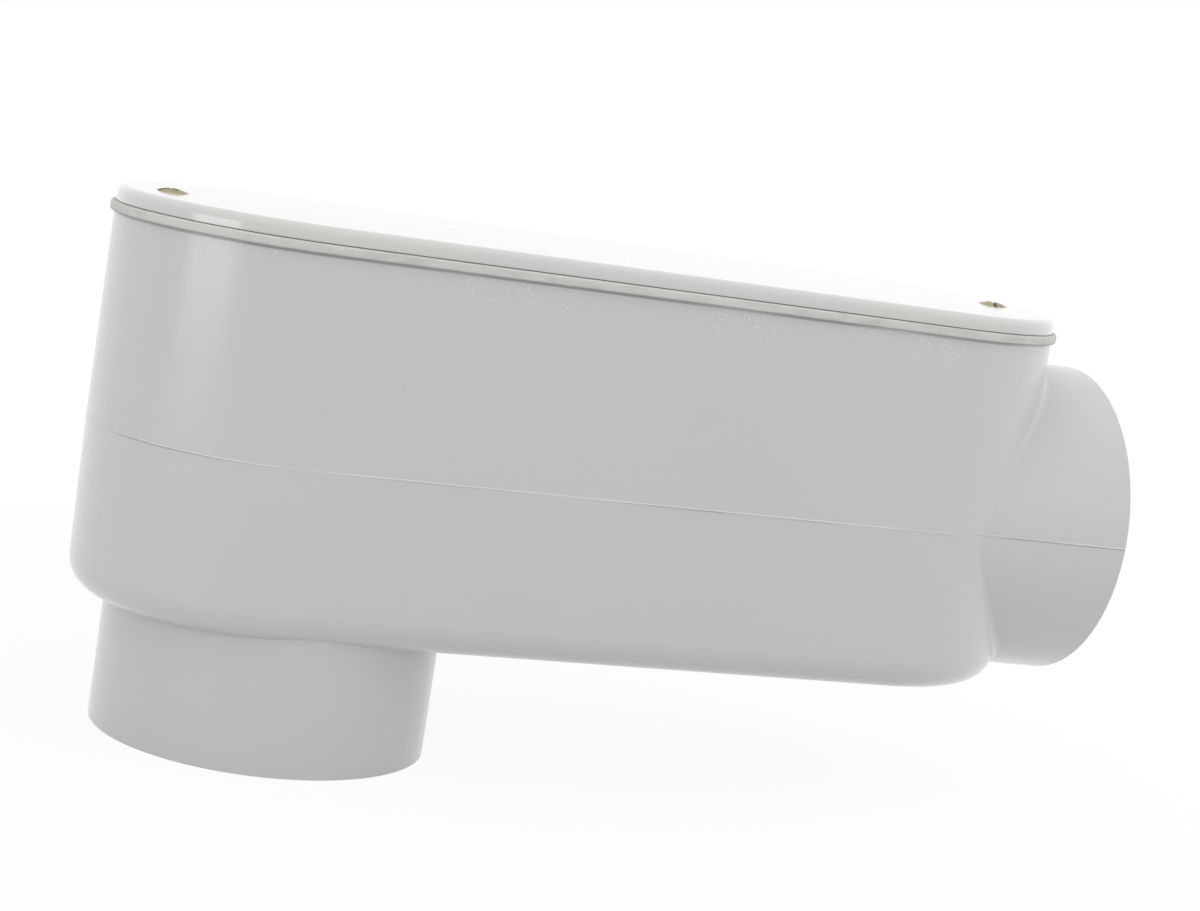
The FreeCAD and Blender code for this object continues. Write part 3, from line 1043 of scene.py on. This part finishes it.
def light_sky(strength):
    """An even sky that shows white where it is seen and lights the part a little less."""
    world = bpy.data.worlds.new("sky")
    bpy.context.scene.world = world
    world.use_nodes = True
    nodes = Nodes(world.node_tree)
    seen = nodes.of_rays("Is Camera Ray", "Is Glossy Ray", "Is Transmission Ray")
    level = nodes.remap(seen, 0.0, 1.0, start=strength, end=1.0, smooth=False)
    sky = nodes.add("Background", Color=(1.0, 1.0, 1.0, 1.0), Strength=level)
    nodes.add("OutputWorld", Surface=sky.outputs["Background"])


def floor_finish():
    """A white floor: it takes the part's shadow close by and melts into the sky further out."""
    material = bpy.data.materials.new("floor")
    material.use_nodes = True
    nodes = Nodes(material.node_tree)
    distance = nodes.add("VectorMath", {"operation": "LENGTH"})
    nodes.feed(distance.inputs[0], nodes.add("TexCoord").outputs["Object"])
    # The floor passes from shadowed paint to plain white between 12 and 55 cm from the origin.
    fade = nodes.remap(distance.outputs["Value"], low=0.12, high=0.55, start=0.93, end=1.0)
    seen = nodes.of_rays("Is Camera Ray", "Is Glossy Ray")
    mix = nodes.add("MixShader", Fac=nodes.maths("MULTIPLY", seen, fade))
    paint = nodes.add("BsdfDiffuse", Color=(0.72, 0.72, 0.72, 1.0))
    glow = nodes.add("Emission", Strength=1.0)
    nodes.feed(mix.inputs[1], paint.outputs["BSDF"])
    nodes.feed(mix.inputs[2], glow.outputs["Emission"])
    nodes.add("OutputMaterial", Surface=mix.outputs["Shader"])
    return material


def add_floor(size):
    """The flat floor that the back hub stands on."""
    sheet = bmesh.new()
    bmesh.ops.create_grid(sheet, x_segments=1, y_segments=1, size=size / 2)
    mesh = bpy.data.meshes.new("floor")
    sheet.to_mesh(mesh)
    sheet.free()
    floor = bpy.data.objects.new("floor", mesh)
    floor.location = (0.0, 0.0, cad_bounds[0].z)
    bpy.context.scene.collection.objects.link(floor)
    give_material(floor, floor_finish())


class CONDUIT_OT_make_stage(bpy.types.Operator):
    """Set up the camera, the lamps, the sky and the floor"""

    bl_idname = "conduit.make_stage"
    bl_label = "Make stage"

    def execute(self, context):
        stage = context.scene.conduit_stage
        add_camera(stage)
        middle = (cad_bounds[0] + cad_bounds[1]) / 2
        fill = stage.fill_power / 2
        # Each lamp's name, place from the part's middle, width, height, power, and whether
        # surfaces reflect it. The left lamp is in two halves, and only the low one shows in
        # the gloss of the walls, because the high one would leave a hard patch on the cover.
        lamps = (
            ("key", (0.6, -1.5, 0.45), 1.4, 1.0, stage.key_power, False),
            ("fill_low", (-1.4, -0.6, -0.125), 0.8, 0.75, fill, True),
            ("fill_high", (-1.4, -0.6, 0.625), 0.8, 0.75, fill, False),
            ("edge", (1.5, -0.45, 0.3), 0.8, 1.4, stage.edge_power, False),
            ("top", (0.0, 0.0, 2.2), 4.4, 3.5, stage.top_power, False),
        )
        for name, offset, width, height, power, mirrored in lamps:
            add_lamp(name, middle + Vector(offset), middle, width, height, power, mirrored)
        light_sky(stage.sky)
        add_floor(stage.floor_size)
        context.scene.view_settings.view_transform = "Standard"
        return {"FINISHED"}


# ---------------------------------------------------------------------------------------- panel


class CONDUIT_PT_pieces(bpy.types.Panel):
    """Lists the pieces of the conduit body and their settings"""

    bl_label = "Conduit body"
    bl_idname = "CONDUIT_PT_pieces"
    bl_space_type = "VIEW_3D"
    bl_region_type = "UI"
    bl_category = "Conduit body"

    def draw(self, context):
        for operator in OPERATORS:
            self.layout.operator(operator.bl_idname)
        for name, group in SETTINGS.items():
            box = self.layout.box()
            for setting in group.__annotations__:
                box.prop(getattr(context.scene, name), setting)


SETTINGS = {
    "conduit_plastic": PlasticSettings,
    "conduit_parting": PartingSettings,
    "conduit_cover": CoverSettings,
    "conduit_gasket": GasketSettings,
    "conduit_screws": ScrewSettings,
    "conduit_stage": StageSettings,
}
OPERATORS = (
    CONDUIT_OT_dress_housing,
    CONDUIT_OT_make_cover,
    CONDUIT_OT_dress_screws,
    CONDUIT_OT_make_gasket,
    CONDUIT_OT_make_parting_line,
    CONDUIT_OT_make_stage,
)
CLASSES = (*SETTINGS.values(), *OPERATORS, CONDUIT_PT_pieces)


def register():
    """Add the classes, and the settings to every scene."""
    for item in CLASSES:
        bpy.utils.register_class(item)
    for name, settings in SETTINGS.items():
        setattr(bpy.types.Scene, name, PointerProperty(type=settings))


def unregister():
    """Take the settings and the classes away again."""
    for name in SETTINGS:
        delattr(bpy.types.Scene, name)
    for item in reversed(CLASSES):
        bpy.utils.unregister_class(item)


def main():
    """Build every piece and the stage, in order."""
    register()
    bpy.ops.conduit.dress_housing()
    bpy.ops.conduit.make_cover()
    bpy.ops.conduit.dress_screws()
    bpy.ops.conduit.make_gasket()
    bpy.ops.conduit.make_parting_line()
    bpy.ops.conduit.make_stage()


if __name__ == "__main__":
    main()
